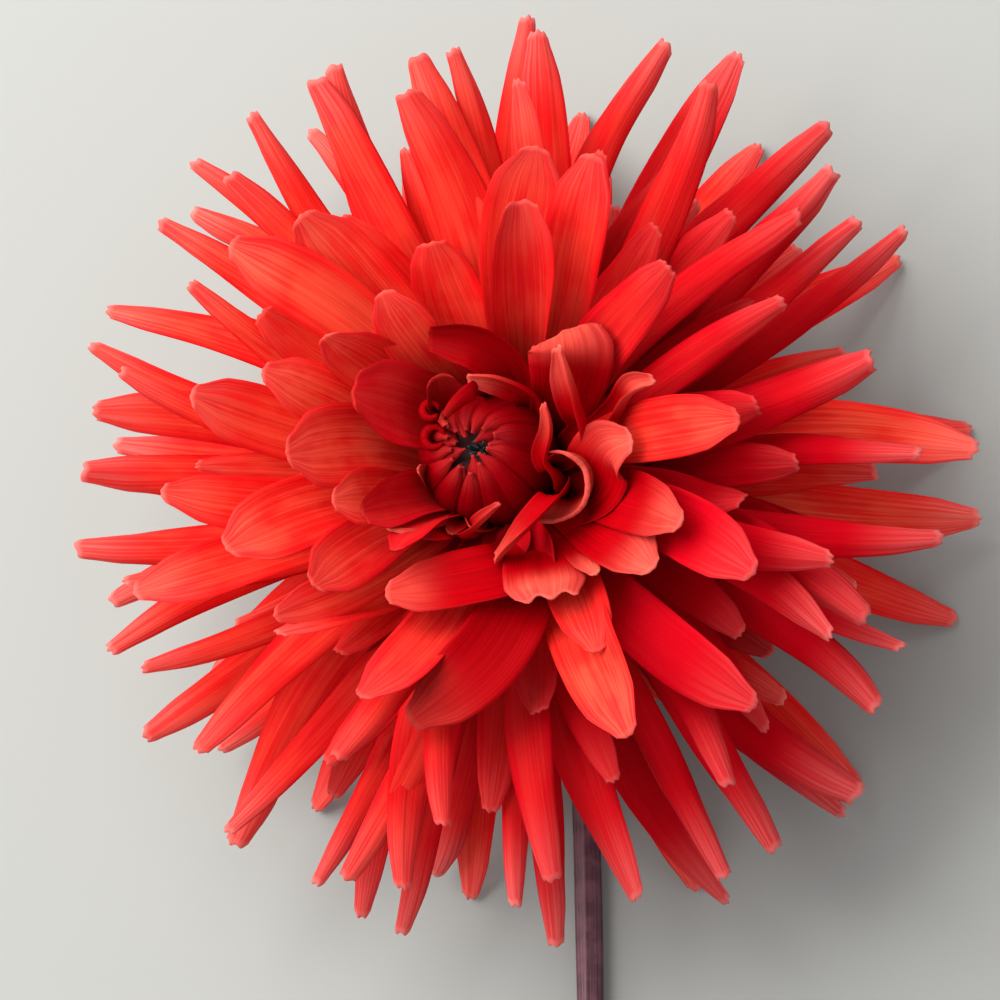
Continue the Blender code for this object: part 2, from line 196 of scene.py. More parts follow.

# Young florets close against the closed middle. Each has a name, its midrib's route as (right, up,
# height above the receptacle), the way its inner face looks at the claw and at the end, its width,
# its form, and its share of painted light: how much paler and more orange its turned end is painted.
YOUNG = (
    ("trumpet_floret", ((2.2, -1, 11), (6.8, 0, 19), (9.0, 1.2, 26), (8.2, 0.6, 31.5)),
     (-1, 0, 0.1), (-0.85, -0.3, 0.3), 8.0, "trumpet", 0.5),
    ("cheek_floret", ((2.4, -1.5, 11), (7.0, -3.6, 18), (9.6, -1.2, 25.5), (11.0, 4.0, 31.5),
                      (15.2, 6.0, 33.5)),
     (-0.5, 0.3, 0.8), (-0.1, 0.3, 0.95), 9.4, "broad", 0.9),
    ("wavy_floret", ((2.4, 2, 11), (8, 5, 19), (13, 9, 27), (15.2, 13, 32.5), (18.6, 14.6, 34.5)),
     (-0.8, 0.4, 0.4), (-0.7, 0.5, 0.5), 5.6, "fold", 0.8),
    ("tall_fold_floret", ((2, 2, 11), (6.8, 4.5, 20), (8.6, 7.0, 27), (7.0, 12, 32), (4.2, 20.2, 35.5)),
     (-1, 0, 0.3), (-0.8, -0.2, 0.6), 6.4, "fold", 0.9),
    ("notched_floret", ((1, 4, 11.5), (3.5, 9, 20), (5.6, 14.0, 27), (6.0, 18.6, 31.5), (5.6, 21.6, 32),
                        (5.2, 22.4, 30.5)),
     (0, -0.8, 0.6), (0, 0.25, 1), 11.5, "spoon", 0.8),
    ("twisted_floret", ((2, -2, 11.5), (4.8, -2.8, 20), (3.8, -2.6, 28.5), (-0.8, -7.4, 31.5),
                        (-5.4, -12.4, 30)),
     (-0.6, 0.6, 0.5), (-0.5, 0.75, 0.5), 5.0, "cup", 0.6),
    ("slanting_floret", ((-3, 4, 11.5), (-2.6, 10, 20), (-2.4, 16, 27), (-8, 20.5, 32), (-15.4, 21.8, 33)),
     (-0.2, -0.6, 0.8), (0.25, -0.5, 0.85), 6.4, "hood", 0.02),
    ("orange_curl", ((-3, 4, 12), (-1.2, 9, 20), (0, 12.6, 27), (-4.5, 14.9, 32), (-9.6, 15.4, 33.5)),
     (-0.4, -0.7, 0.6), (-0.2, -0.75, 0.6), 4.6, "hood", 0.7),
    ("lying_quill", ((-6, 13, 26), (-8, 13.6, 32), (-10.4, 11.8, 33.4), (-12.9, 9.4, 33)),
     (0, -0.3, 1), (0.2, -0.3, 1), 2.3, "quill", 0.05),
    ("s_curl_floret", ((2, -0.5, 12), (5.2, -0.8, 20), (4.4, 0.6, 27), (2.2, 3.2, 30.5), (2.9, 7.4, 32),
                       (2.0, 11.6, 32.5)),
     (-1, 0, 0.3), (-0.8, 0, 0.6), 3.8, "fold", 0.5),
    ("small_cup", ((-5, 3, 12), (-9, 7.5, 20), (-12.6, 11.4, 28), (-14.2, 15.6, 33)),
     (0.4, -0.6, 0.7), (0.35, -0.55, 0.8), 6.8, "hood", 0.08),
    ("upper_spiral", ((-5.5, 2.5, 12), (-11, 6.5, 20), (-14.8, 9.2, 27), (-16.3, 10.2, 32.0)),
     (0.8, -0.4, 0.5), (0.8, 0.3, 0.5), 2.3, "roll", 0.0),
    ("lower_spiral", ((-5.5, 1, 12), (-11.4, 4, 20), (-15, 5.6, 27), (-16.1, 6.2, 31.0)),
     (0.9, 0, 0.5), (0.9, 0.2, 0.5), 3.0, "roll", 0.0),
    ("short_quill", ((-5.5, 2.5, 12), (-11, 8, 24), (-13.2, 9.4, 30), (-12.4, 8, 32)),
     (0.6, -0.5, 0.6), (0.4, -0.5, 0.8), 2.2, "quill", 0.2),
    ("pink_nib", ((-8, 0, 14), (-14.5, -0.5, 22), (-17.0, 1.5, 31)),
     (0.9, 0, 0.5), (0.6, 0.2, 0.8), 3.0, "cup", 0.4),
    ("lower_nib", ((-6, -2, 12), (-10, -5.5, 21), (-12.2, -8.2, 30)),
     (0.4, 0.8, 0.4), (0.3, 0.6, 0.7), 3.0, "cup", 0.15),
    ("folded_nib", ((-5, -3, 12), (-8, -8, 22), (-9.2, -8.4, 29), (-4.5, -3.6, 32)),
     (0, 0.9, 0.4), (-0.4, 0.7, 0.6), 3.6, "fold", 0.4),
    ("middle_nib", ((-5, -3, 12), (-7.5, -7.5, 21), (-8.8, -7.4, 30)),
     (0, 0.9, 0.4), (0.3, 0.6, 0.7), 4.2, "cup", 0.2),
    ("leaf_curl", ((-6, -3, 12), (-10.5, -7, 21), (-14, -8.2, 30.5), (-21.6, -7.4, 34)),
     (0, 0.8, 0.5), (0.1, 0.75, 0.6), 3.2, "lance", 0.9),
    ("lower_broad_curl", ((0, -3.5, 12), (0.5, -8, 20), (1.4, -12, 28), (2.2, -15.6, 33),
                          (2.6, -18.0, 34.5)),
     (0, 0.8, 0.6), (-0.1, 0.5, 0.85), 11, "spoon", 1.0),
    ("small_pale_tip", ((1.5, -3, 12), (4.5, -7, 19), (7.2, -10.6, 27), (9.8, -14.2, 31.5)),
     (-0.3, 0.7, 0.6), (-0.2, 0.4, 0.9), 4.2, "broad", 1.0),
    ("pointed_pale_floret", ((2, -2.5, 12), (6.5, -4.8, 20), (12.2, -8.2, 29), (18.2, -13.4, 33.5)),
     (-0.5, 0.4, 0.8), (-0.1, 0.2, 1), 8.4, "broad", 1.0),
    ("lying_floret", ((0, -3.5, 12), (0, -9, 20), (-3, -13.2, 28), (-11, -15.4, 32), (-21.9, -17.1, 33)),
     (0, 0.8, 0.6), (0.05, 0.5, 0.85), 9.4, "broad", 0.55),
    ("leaning_floret", ((-1, -5, 10), (0, -11, 18), (-1, -17, 27), (-7, -27, 32), (-18.2, -36.5, 31)),
     (0.2, 0.8, 0.5), (0.05, 0.35, 0.95), 9.8, "broad", 0.25),
    ("lobed_pale_floret", ((2.2, -1, 12), (8, -2, 20), (15.5, -3.5, 30), (22.4, -6.6, 35)),
     (-0.6, 0.2, 0.8), (-0.1, 0.1, 1), 8.0, "broad", 0.8),
)

# Painted light and shade by bearing: florets towards the key light on the upper left are painted lighter and
# more orange, and those on the lower right darker crimson. The inner whorls get less of this painted light.
LIT_BEARING = 158.0              # where the face is most orange
LIT_FOCUS = 1.5
WHORL_PAINTED_LIGHT = (0.75, 0.75, 0.8, 1.0, 1.0, 0.8, 0.2)
# Share of pale tip and painted sheen by whorl: most on the outer whorls.
WHORL_PALE_AND_SHEEN = (0.7, 0.58, 0.5, 0.35, 0.25, 0.18, 0.04)

UNDER_FLORETS = 13
UNDER_REACH = 64.0
UNDER_WIDTH = 6.5
UNDER_FREE = 34.0                 # degrees left free for the stem
SHORT_RINGS = ((12, 104.0, 43.0, 5.6), (16, 95.0, 51.0, 5.8))   # florets, lean, length, width

STEM_ROUTE = ((0, 0, -8.4), (0, -2.5, -14), (0, -12, -21.5), (0.5, -30, -25.6), (1, -55, -26.8),
              (1.5, -85, -26.8), (1.5, -115, -26.8), (1, -148, -26.8))

# Lights, each with its place along the face's axes, its size in metres, watts and colour.
LIGHTS = (("key", (-560.0, 430.0, 420.0), 1.0, 19.5, (1.0, 0.97, 0.93)),
          ("fill", (600.0, -200.0, 700.0), 0.9, 1.0, (0.92, 0.96, 1.0)))
SURROUND_GREY = 0.97
SURROUND_STRENGTH = 0.70
FLOOR_SIZE = 6.0                  # metres
FLOOR_COLOUR = (0.30, 0.31, 0.30)


# ------------------------------------------------------------------ geometry helpers
def unit(vector):
    """The vector at length one."""
    return vector / np.linalg.norm(vector)


def on_sphere(lean, azimuth):
    """Unit vector at a lean from +Z and an azimuth from +X, both in degrees."""
    tilt, turn = math.radians(lean), math.radians(azimuth)
    return np.array([math.sin(tilt) * math.cos(turn), math.sin(tilt) * math.sin(turn), math.cos(tilt)])


def face_axes():
    """Right, up and outward axes of the direction from which the open face is described."""
    outward = on_sphere(FACE_TILT, FACE_TURN - 90.0)
    right = unit(np.array([outward[2], 0.0, -outward[0]]))
    return right, np.cross(outward, right), outward


RIGHT, UP, OUTWARD = face_axes()


def seen_at(right, up, outward):
    """A point given along the face's axes."""
    return right * RIGHT + up * UP + outward * OUTWARD


def at_height(right, up, height):
    """A point given along the face's axes and by its height above the receptacle's centre."""
    outward = (height - right * RIGHT[2] - up * UP[2]) / OUTWARD[2]
    return seen_at(right, up, outward)


def tip_point(bearing, reach, whorl):
    """Where a tip stands: on the near side of the flower's dome, or the far side at the back."""
    turn = math.radians(bearing)
    flat = reach * (math.cos(turn) * RIGHT + math.sin(turn) * UP)
    depths = np.arange(*TIP_SEARCH)
    if whorl == 0:
        depths = depths[::-1]
    closest = None
    for depth in depths:
        point = flat + depth * OUTWARD
        if point[2] < LOWEST_TIP + FLOOR_HEIGHT:
            continue
        distance = np.linalg.norm(point)
        lean = math.degrees(math.acos(point[2] / distance))
        excess = distance - np.interp(lean, LEANS, TIP_DISTANCES)
        if excess <= 0.0:
            return point
        if closest is None or excess < closest[0]:
            closest = (excess, point)
    return closest[1]


def smooth_between(value, stops, heights):
    """Interpolates with a smooth step between stops; value may be an array."""
    spot = np.clip(value, stops[0], stops[-1])
    place = np.clip(np.searchsorted(stops, spot, side="right") - 1, 0, len(stops) - 2)
    low, high = np.take(stops, place), np.take(stops, place + 1)
    share = (spot - low) / (high - low)
    share = share * share * (3 - 2 * share)
    return np.take(heights, place) * (1 - share) + np.take(heights, place + 1) * share


def through(value, stops, heights):
    """A soft curve through stops without flat steps: the mean of three shifted straight ones."""
    total = 0.0
    for shift in (-OUTLINE_SOFTNESS, 0.0, OUTLINE_SOFTNESS):
        total = total + np.interp(np.asarray(value) + shift, stops, heights)
    return total / 3.0


def smooth_route(route, steps):
    """Points on a smooth curve through the route's own points."""
    knots = [np.array(point, float) for point in route]
    knots = [2 * knots[0] - knots[1]] + knots + [2 * knots[-1] - knots[-2]]
    line = []
    for before, start, end, after in zip(knots, knots[1:], knots[2:], knots[3:]):
        for step in range(steps):
            t = step / steps
            line.append(0.5 * (2 * start + (end - before) * t
                               + (2 * before - 5 * start + 4 * end - after) * t * t
                               + (3 * start - before - 3 * end + after) * t ** 3))
    line.append(knots[-2])
    return np.array(line)


def distances_along(line):
    """How far each point of a line is from its start."""
    gaps = np.linalg.norm(np.diff(line, axis=0), axis=1)
    return np.concatenate([[0.0], np.cumsum(gaps)])


def groove(across):
    """Depth of the groove over the midrib."""
    return GROOVE_DEPTH * np.exp(-(across / GROOVE_SPREAD) ** 2)


class Blade:
    """A floret, bract or scale: a midrib from claw to tip, with a curled cross-section."""

    def __init__(self, claw, lift, tip, width, form, seed, **extras):
        self.claw = np.array(claw, float)
        self.lift = unit(np.array(lift, float))
        self.tip = np.array(tip, float)
        self.width = width
        self.curls, self.outline, self.teeth = FORMS[form]
        draw = random.Random(seed)
        self.hook = extras.get("hook", draw.uniform(-0.25, 0.45))
        self.twist = math.radians(extras.get("twist", draw.uniform(-38, 38)))
        self.roll = math.radians(extras.get("roll", draw.uniform(-8, 8)))
        self.sway = extras.get("sway", draw.uniform(-0.075, 0.075))
        self.bow = extras.get("bow", 0.36)
        self.lean = draw.uniform(-0.25, 0.25)
        self.curl_scale = draw.uniform(0.6, 1.35)
        self.tone = draw.random()
        self.phase = draw.uniform(0, 2 * math.pi)

    def level(self):
        """The level direction square to the way from the flower's axis to the tip."""
        azimuth = math.atan2(self.tip[1], self.tip[0])
        return np.array([-math.sin(azimuth), math.cos(azimuth), 0.0])

    def midrib(self, share):
        """Points on the midrib at an array of shares of its length."""
        length = np.linalg.norm(self.tip - self.claw)
        across = self.level()
        first = self.claw + self.lift * length * self.bow
        ahead = unit(self.tip - first)
        side = unit(across - ahead * np.dot(across, ahead))
        upper = np.cross(ahead, side)
        second = self.tip - unit(ahead - self.hook * upper) * length * TIP_HANDLE
        share = np.asarray(share)[:, None]
        rest = 1.0 - share
        line = (rest ** 3 * self.claw + 3 * rest * rest * share * first
                + 3 * rest * share * share * second + share ** 3 * self.tip)
        return line + side * np.sin(math.pi * share) * self.sway * length

    def sides(self, ahead, along):
        """Unit vectors across the blade, level and square to the midrib."""
        side = self.level()
        side = side - ahead * (ahead @ side)[:, None]
        return side / np.linalg.norm(side, axis=1)[:, None]

    def curl(self, across, along):
        """Half-angle of the cross-section's arc, in radians."""
        curl = np.radians(smooth_between(along, CURL_STOPS, self.curls))
        curl = curl * np.where(along > 0.3, self.curl_scale, 1.0)
        curl = curl * (1 + self.lean * np.sign(across) * along)
        return np.where(np.abs(curl) < LEAST_CURL, LEAST_CURL, curl)

    def points(self, across, along):
        """Points of the blade at arrays of places across (-1 to 1) and along (0 to 1)."""
        step = 1e-3
        centre = self.midrib(along)
        ahead = self.midrib(np.clip(along + step, 0, 1)) - self.midrib(np.clip(along - step, 0, 1))
        ahead /= np.linalg.norm(ahead, axis=1)[:, None]
        side = self.sides(ahead, along)
        upper = np.cross(ahead, side)
        turn = (self.twist * along ** 2 + self.roll)[:, None]
        side, upper = (side * np.cos(turn) + upper * np.sin(turn),
                       upper * np.cos(turn) - side * np.sin(turn))
        claw_share = np.clip(along / CLAW_END, 0, 1)
        width = self.width * through(along, OUTLINE_STOPS, self.outline)
        width = width * claw_share + CLAW_WIDTH * (1 - claw_share)
        curl = self.curl(across, along)
        radius = width * np.sign(curl) / (2.0 * np.sin(np.clip(np.abs(curl), 0, 2.0)))
        angle = across * curl
        place = (centre + side * (radius * np.sin(angle))[:, None]
                 + upper * (radius * (1 - np.cos(angle)))[:, None])
        normal = upper * np.cos(angle)[:, None] - side * np.sin(angle)[:, None]
        return place + normal * self.relief(across, along)[:, None]

    def relief(self, across, along):
        """Height of the lengthwise pleats and the wavy margin."""
        fade = np.clip(along / 0.25, 0, 1) * np.clip((1 - along) / 0.08, 0, 1)
        size = min(self.width, RELIEF_WIDTH) / RELIEF_WIDTH
        pleats = PLEAT_HEIGHT * np.cos(across * 2.5 * math.pi + 0.4 * self.phase)
        ripple = RIPPLE_HEIGHT * np.abs(across) ** 3 * np.sin(along * 13 + self.phase + across)
        wave = WAVE_HEIGHT * np.sin(along * 5.2 + self.phase) * across
        return fade * size * (pleats - groove(across) + ripple + wave)

    def reach_of(self, across, along):
        """Shortens the blade between its teeth at the tip."""
        notch = 0.5 - 0.5 * np.cos(across * (2.2 + 0.8 * self.tone) * math.pi + self.phase)
        return along - along ** 14 * (self.teeth * notch + TIP_ROUNDING * across ** 2)


class Curl(Blade):
    """A young floret that follows its own route and turns its inner face as it goes."""

    def __init__(self, route, looks, width, form, seed, **extras):
        line = smooth_route(route, 16)
        super().__init__(line[0], line[1] - line[0], line[-1], width, form, seed, **extras)
        self.line = line
        run = distances_along(line)
        self.run = run / run[-1]
        self.looks = [unit(np.array(seen_at(*look))) for look in looks]
        self.curl_scale = 1.0

    def midrib(self, share):
        """Points on the route at an array of shares of its length."""
        return np.stack([np.interp(share, self.run, self.line[:, axis]) for axis in range(3)], axis=1)

    def sides(self, ahead, along):
        """Unit vectors across the blade, square to the midrib and to the way its inner face looks."""
        share = along[:, None]
        look = self.looks[0] * (1 - share) + self.looks[1] * share
        side = np.cross(look, ahead)
        return side / np.linalg.norm(side, axis=1)[:, None]


# ------------------------------------------------------------------ pieces in general
def placed(points):
    """Points in millimetres from the receptacle's centre, as metres in the frame."""
    return np.asarray(points, float) * MM + np.array(HEART)


def set_points(piece, points):
    """Moves every vertex of a piece to its place in the frame."""
    piece.data.vertices.foreach_set("co", placed(points).astype(np.float32).ravel())
    piece.data.update()


def started(name, add, **settings):
    """Adds a new primitive under its name; returns it with its vertices' own places."""
    bpy.ops.object.select_all(action="DESELECT")
    add(**settings)
    piece = bpy.context.object
    piece.name = name
    piece.data.name = name
    flat = np.zeros(len(piece.data.vertices) * 3, np.float32)
    piece.data.vertices.foreach_get("co", flat)
    return piece, flat.reshape(-1, 3)


def new_grid(name, columns, rows):
    """A grid with its vertices' places across (-1 to 1) and along (0 to 1)."""
    piece, flat = started(name, bpy.ops.mesh.primitive_grid_add,
                          x_subdivisions=columns, y_subdivisions=rows, size=1.0)
    return piece, flat[:, 0] * 2.0, np.clip(flat[:, 1] + 0.5, 0, 1)


def new_ball(name, segments, rings):
    """A ball of radius one with its vertices' places."""
    piece, flat = started(name, bpy.ops.mesh.primitive_uv_sphere_add,
                          segments=segments, ring_count=rings, radius=1.0)
    return piece, flat.astype(float)


def settle(piece):
    """Shades a piece smooth, and gives it its body."""
    bpy.ops.object.shade_smooth()
    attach(piece, "root")


def thicken(piece, across, thickness):
    """Gives the sheet its thickness, thinner at the margins, with the reverse in slot two."""
    group = piece.vertex_groups.new(name="thick")
    for share in range(5):
        chosen = np.where(np.round(np.abs(across) ** 2 * 4) == share)[0]
        if len(chosen):
            group.add([int(c) for c in chosen], 1.0 - (1.0 - MARGIN_SHARE) * share / 4.0, "REPLACE")
    bpy.ops.object.modifier_add(type="SOLIDIFY")
    solid = piece.modifiers[-1]
    solid.thickness = thickness * MM
    solid.offset = 0.0
    solid.vertex_group = "thick"
    solid.material_offset = 1
    solid.material_offset_rim = 0
    bpy.ops.object.modifier_apply(modifier=solid.name)
    piece.vertex_groups.clear()


def finish_sheet(piece, across, looks, finishes, thickness):
    """Stores a sheet's tone, its share of painted light, and its share of pale tip and painted sheen, and
    gives it its materials and thickness.
    """
    for name, value in zip(("tone", "painted_light", "pale_and_sheen"), looks):
        layer = piece.data.attributes.new(name, "FLOAT", "POINT")
        layer.data.foreach_set("value", np.full(len(across), value, np.float32))
    for finish in finishes:
        piece.data.materials.append(finish)
    thicken(piece, across, thickness)
    settle(piece)


def make_blade(name, blade, size, finishes, thickness=FLORET_THICKNESS, painted_light=0.5, pale_and_sheen=0.5):
    """Builds one floret from a flat grid, laid along its midrib and thickened."""
    piece, across, along = new_grid(name, *size)
    points = blade.points(across, blade.reach_of(across, along))
    points[:, 2] = np.maximum(points[:, 2], FLOOR_HEIGHT + FLOOR_CLEARANCE)
    set_points(piece, points)
    finish_sheet(piece, across, (blade.tone, painted_light, pale_and_sheen), finishes, thickness)
    return piece


def seated(seat, tip, width, form, seed, **extras):
    """A blade whose claw stands in the receptacle, in the direction of its seat."""
    return Blade(seat * (RECEPTACLE_RADIUS - CLAW_SINK), seat + np.array([0, 0, CLAW_LIFT]), tip,
                 width, form, seed, **extras)


# ------------------------------------------------------------------ shader groups and materials
def new_group(name, inputs, outputs):
    """A shader node group: its tree, what it is given and what it results in, by name."""
    tree = bpy.data.node_groups.new(name, "ShaderNodeTree")
    for label, kind, value in inputs:
        socket = tree.interface.new_socket(label, in_out="INPUT", socket_type="NodeSocket" + kind)
        if value is not None:
            socket.default_value = value
    for label, kind in outputs:
        tree.interface.new_socket(label, in_out="OUTPUT", socket_type="NodeSocket" + kind)
    return tree, tree.nodes.new("NodeGroupInput").outputs, tree.nodes.new("NodeGroupOutput")


def fill(tree, made, inputs):
    """Fills a node's inputs: another node's output is linked, and any other value is set."""
    for key, value in inputs.items():
        socket = made.inputs[key]
        if isinstance(value, bpy.types.NodeSocket):
            tree.links.new(value, socket)
        elif socket.type == "RGBA":
            socket.default_value = (*value, 1.0)
        else:
            socket.default_value = value


def node(tree, kind, inputs=None, **settings):
    """Adds a node with its settings and inputs."""
    made = tree.nodes.new(kind)
    for key, value in settings.items():
        setattr(made, key, value)
    fill(tree, made, inputs or {})
    return made


def maths(tree, operation, first, second=0.0):
    """A Math node on sockets or numbers; returns its output."""
    return node(tree, "ShaderNodeMath", {0: first, 1: second}, operation=operation).outputs[0]


def times(tree, first, second):
    """The product of two sockets or numbers."""
    return maths(tree, "MULTIPLY", first, second)


def mixed(tree, factor, first, second):
    """A colour Mix node on sockets or colours; returns its output."""
    return node(tree, "ShaderNodeMix", {0: factor, 6: first, 7: second}, data_type="RGBA").outputs[2]


def ranged(tree, value, low, high, new_low, new_high):
    """A smooth Map Range on a socket; returns its output."""
    return node(tree, "ShaderNodeMapRange", {0: value, 1: low, 2: high, 3: new_low, 4: new_high},
                interpolation_type="SMOOTHSTEP").outputs[0]


def noise(tree, place, scale, detail, low, high):
    """A Noise Texture at a place, spread from nought to one between two of its values."""
    made = node(tree, "ShaderNodeTexNoise", {"Vector": place, "Scale": scale, "Detail": detail})
    return ranged(tree, made.outputs[0], low, high, 0.0, 1.0)


def point(tree, *axes):
    """A vector from sockets or numbers."""
    return node(tree, "ShaderNodeCombineXYZ", dict(enumerate(axes))).outputs[0]


def apart(tree, vector):
    """A vector's own numbers, in order."""
    return node(tree, "ShaderNodeSeparateXYZ", {0: vector}).outputs


def streak_group():
    """Lengthwise veins of a petal or leaf: fine streaks, broader pleats, and large blotches."""
    tree, given, result = new_group(
        "lengthwise_veins",
        [("UV", "Vector", None), ("Tone", "Float", 0.5), ("Fine Count", "Float", 58.0),
         ("Broad Count", "Float", 19.0)],
        [("Fine", "Float"), ("Broad", "Float"), ("Blotch", "Float")])
    places = apart(tree, given["UV"])
    seed = times(tree, given["Tone"], 37.0)
    for label, count, stretch, detail, low, high in (("Fine", given["Fine Count"], 2.6, 3.0, 0.32, 0.68),
                                                     ("Broad", given["Broad Count"], 1.3, 3.0, 0.32, 0.68),
                                                     ("Blotch", 2.2, 5.0, 2.0, 0.3, 0.7)):
        spot = point(tree, times(tree, places[0], count), times(tree, places[1], stretch), seed)
        fill(tree, result, {label: noise(tree, spot, 1.0, detail, low, high)})
    return tree


def colour_and_light_group():
    """Colour of a petal from claw to tip, with veins, a pale margin and end, and painted light and shade: a
    painted highlight, a painted sheen near the end, and painted shade towards the claw and on the side away
    from the key light.
    """
    tree, given, result = new_group(
        "petal_colour_and_painted_light",
        [("UV", "Vector", None), ("Painted Light", "Float", 0.5), ("Pale And Sheen", "Float", 0.5), ("Fine", "Float", 0.5),
         ("Broad", "Float", 0.5), ("Blotch", "Float", 0.5), ("Light From", "Float", 0.2)]
        + [(label, "Color", None) for label in ("Vein And Claw Shade", "Shade Side", "Lit Side", "Bright", "Pale Tip And Sheen")],
        [("Color", "Color")])
    places = apart(tree, given["UV"])
    along = places[1]
    edge = maths(tree, "ABSOLUTE", maths(tree, "SUBTRACT", places[0], 0.5))
    # Painted light and shade by side: the shade-side colour on florets away from the key light, and the
    # lit-side colour on those towards it, as the share of painted light says.
    side_light = mixed(tree, ranged(tree, given["Painted Light"], 0.0, 0.7, 0.0, 1.0), given["Shade Side"], given["Lit Side"])
    # Painted shade: darker towards the claw, where the florets crowd into the centre.
    body = mixed(tree, ranged(tree, along, 0.12, 0.6, 0.0, 1.0), given["Vein And Claw Shade"], side_light)
    # Painted light: orange highlight patches, uneven with the veins and blotches, on florets towards the key
    # light, from some way along each floret to its end.
    uneven = maths(tree, "ADD", times(tree, given["Blotch"], 0.5), times(tree, given["Broad"], 0.5))
    patch = times(tree, ranged(tree, uneven, 0.1, 0.9, 0.2, 1.0), ranged(tree, edge, 0.2, 0.5, 1.0, 0.3))
    rise = ranged(tree, maths(tree, "SUBTRACT", along, given["Light From"]), 0.0, 0.2, 0.0, 1.0)
    body = mixed(tree, times(tree, times(tree, given["Painted Light"], rise), patch), body, given["Bright"])
    # The fine veins are the floret's own darker red, in the colour of the painted shade at the claw.
    body = mixed(tree, times(tree, given["Fine"], 0.34), body, given["Vein And Claw Shade"])
    # Painted sheen: a pale, streaky highlight over the last part of the floret. The pale margin and the pale
    # end are the floret's own colour.
    painted_sheen = times(tree, ranged(tree, along, 0.72, 0.99, 0.0, 0.5),
                  ranged(tree, given["Broad"], 0.0, 1.0, 0.35, 1.0))
    margin = times(tree, ranged(tree, edge, 0.47, 0.5, 0.0, 0.06), ranged(tree, along, 0.4, 0.9, 0.0, 1.0))
    ending = ranged(tree, along, 0.96, 1.0, 0.0, 0.9)
    pale = maths(tree, "MAXIMUM", maths(tree, "MAXIMUM", margin, painted_sheen), ending)
    fill(tree, result, {"Color": mixed(tree, times(tree, pale, given["Pale And Sheen"]), body, given["Pale Tip And Sheen"])})
    return tree


def tissue_group():
    """Uneven colour of a stem or leaf in Object coordinates, with lengthwise ribs from the UV map."""
    tree, given, result = new_group(
        "stem_tissue",
        [("Position", "Vector", None), ("UV", "Vector", None), ("Rib Count", "Float", 26.0),
         ("Dark", "Color", None), ("Light", "Color", None)],
        [("Color", "Color"), ("Rib", "Float"), ("Mottle", "Float")])
    places = apart(tree, given["UV"])
    spot = point(tree, times(tree, places[0], given["Rib Count"]), times(tree, places[1], 1.6))
    rib = noise(tree, spot, 1.0, 2.0, 0.35, 0.65)
    mottle = noise(tree, given["Position"], 420.0, 3.0, 0.35, 0.7)
    blend = times(tree, maths(tree, "ADD", rib, mottle), 0.5)
    fill(tree, result, {"Color": mixed(tree, blend, given["Dark"], given["Light"]),
                        "Rib": rib, "Mottle": mottle})
    return tree


STREAKS = streak_group()
COLOUR_AND_LIGHT = colour_and_light_group()
TISSUE = tissue_group()


def new_material(name):
    """A material with its tree and its shader."""
    made = bpy.data.materials.new(name)
    made.use_nodes = True
    return made, made.node_tree, made.node_tree.nodes["Principled BSDF"]


def attribute(tree, name):
    """The value that a piece stores under a name."""
    return node(tree, "ShaderNodeAttribute", attribute_name=name).outputs["Fac"]


# The deep colour is that of the veins and of the painted shade at the claw; the tip colour is that of the
# pale tip and of the painted sheen.
def petal_finish(name, deep, shade_side, lit_side, painted_highlight, tip, through_light, light_from, roughness=0.42, streaks=1.0):
    """A petal's face: veined, lit through by light from behind, and coloured with painted light, painted
    shade and a painted sheen.
    """
    made, tree, shader = new_material(name)
    uv = node(tree, "ShaderNodeUVMap").outputs[0]
    veins = node(tree, "ShaderNodeGroup", {"UV": uv, "Tone": attribute(tree, "tone")},
                 node_tree=STREAKS).outputs
    colour_and_light = node(tree, "ShaderNodeGroup", {
        "UV": uv, "Painted Light": attribute(tree, "painted_light"), "Pale And Sheen": attribute(tree, "pale_and_sheen"),
        "Fine": veins["Fine"], "Blotch": veins["Blotch"],
        "Broad": ranged(tree, veins["Broad"], 0.0, 1.0, 0.5 - 0.5 * streaks, 0.5 + 0.5 * streaks),
        "Vein And Claw Shade": deep, "Shade Side": shade_side, "Lit Side": lit_side, "Bright": painted_highlight, "Pale Tip And Sheen": tip, "Light From": light_from},
        node_tree=COLOUR_AND_LIGHT)
    height = maths(tree, "ADD", times(tree, veins["Fine"], 0.4), times(tree, veins["Broad"], streaks))
    bump = node(tree, "ShaderNodeBump", {"Strength": 0.4, "Distance": BUMP_DEPTH, "Height": height})
    fill(tree, shader, {
        "Base Color": colour_and_light.outputs["Color"], "Normal": bump.outputs[0],
        "Roughness": ranged(tree, veins["Fine"], 0.0, 1.0, roughness, roughness + 0.14),
        "Specular IOR Level": 0.03, "Specular Tint": (1.0, 0.5, 0.5)})
    glow = mixed(tree, 0.4, colour_and_light.outputs["Color"], (1.0, 0.01, 0.004))
    lit = node(tree, "ShaderNodeBsdfTranslucent", {"Color": glow})
    both = node(tree, "ShaderNodeMixShader", {0: through_light, 1: shader.outputs[0], 2: lit.outputs[0]})
    fill(tree, tree.nodes["Material Output"], {"Surface": both.outputs[0]})
    return made


